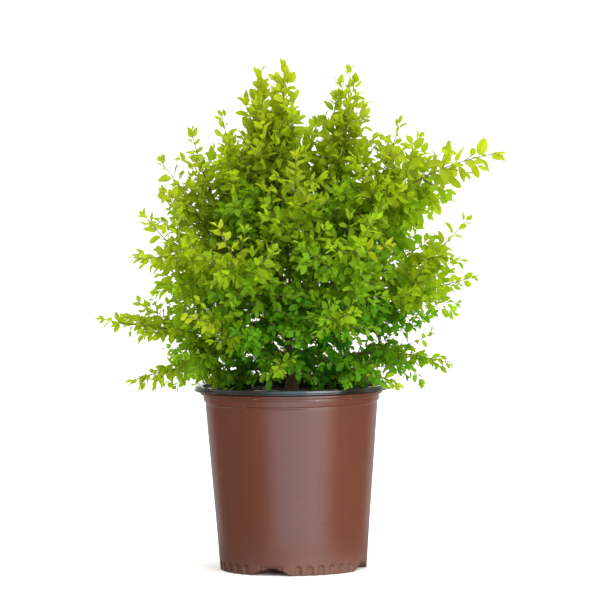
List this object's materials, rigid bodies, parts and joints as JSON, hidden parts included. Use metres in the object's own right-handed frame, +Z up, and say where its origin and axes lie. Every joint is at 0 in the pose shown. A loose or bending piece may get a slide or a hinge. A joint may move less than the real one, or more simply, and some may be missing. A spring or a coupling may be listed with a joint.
{
  "type": "potted chinese privet",
  "caption": "Young privet shrub with a short branching stem, arching boughs and loose sprays of small leaves, in a tapered round nursery pot with a rolled rim.",
  "frame": {"origin": "centre of the pot's flat underside, on the ground", "axes": "+Z up along the pot's axis, -Y towards the front, +X to the right seen from the front"},
  "size_m": [0.4774, 0.3941, 0.5963],
  "materials": {
    "pot_plastic": "warm brown moulded plastic with a soft sheen, black on its rolled rim and inside",
    "soil": "dark damp potting mix of composted bark",
    "bark": "thin grey-brown bark with small pale pores",
    "leaves": "satin yellow-green leaves, brightest at the tips and deeper green inside"
  },
  "bodies": {
    "root": {"bough_arching_right": "bark", "bough_low_back": "bark", "bough_low_far_left": "bark", "bough_low_front_left": "bark", "bough_low_front_right": "bark", "bough_low_left": "bark", "bough_low_right": "bark", "bough_middle_back_left": "bark", "bough_middle_back_right": "bark", "bough_middle_far_left": "bark", "bough_middle_front_left": "bark", "bough_middle_front_right": "bark", "bough_middle_left": "bark", "bough_middle_right": "bark", "bough_skirt_back": "bark", "bough_skirt_front": "bark", "bough_skirt_front_right": "bark", "bough_skirt_left": "bark", "bough_skirt_right": "bark", "bough_top_left": "bark", "bough_top_peak": "bark", "bough_top_right": "bark", "bough_upper_back": "bark", "bough_upper_far_left": "bark", "bough_upper_far_right": "bark", "bough_upper_front": "bark", "bough_upper_left": "bark", "bough_upper_right": "bark", "foliage_arching_right": "leaves", "foliage_low_back": "leaves", "foliage_low_far_left": "leaves", "foliage_low_front_left": "leaves", "foliage_low_front_right": "leaves", "foliage_low_left": "leaves", "foliage_low_right": "leaves", "foliage_middle_back_left": "leaves", "foliage_middle_back_right": "leaves", "foliage_middle_far_left": "leaves", "foliage_middle_front_left": "leaves", "foliage_middle_front_right": "leaves", "foliage_middle_left": "leaves", "foliage_middle_right": "leaves", "foliage_skirt_back": "leaves", "foliage_skirt_front": "leaves", "foliage_skirt_front_right": "leaves", "foliage_skirt_left": "leaves", "foliage_skirt_right": "leaves", "foliage_top_left": "leaves", "foliage_top_peak": "leaves", "foliage_top_right": "leaves", "foliage_upper_back": "leaves", "foliage_upper_far_left": "leaves", "foliage_upper_far_right": "leaves", "foliage_upper_front": "leaves", "foliage_upper_left": "leaves", "foliage_upper_right": "leaves", "pot": "pot_plastic", "potting_soil": "soil", "stem": "bark"}
  },
  "joints": []
}
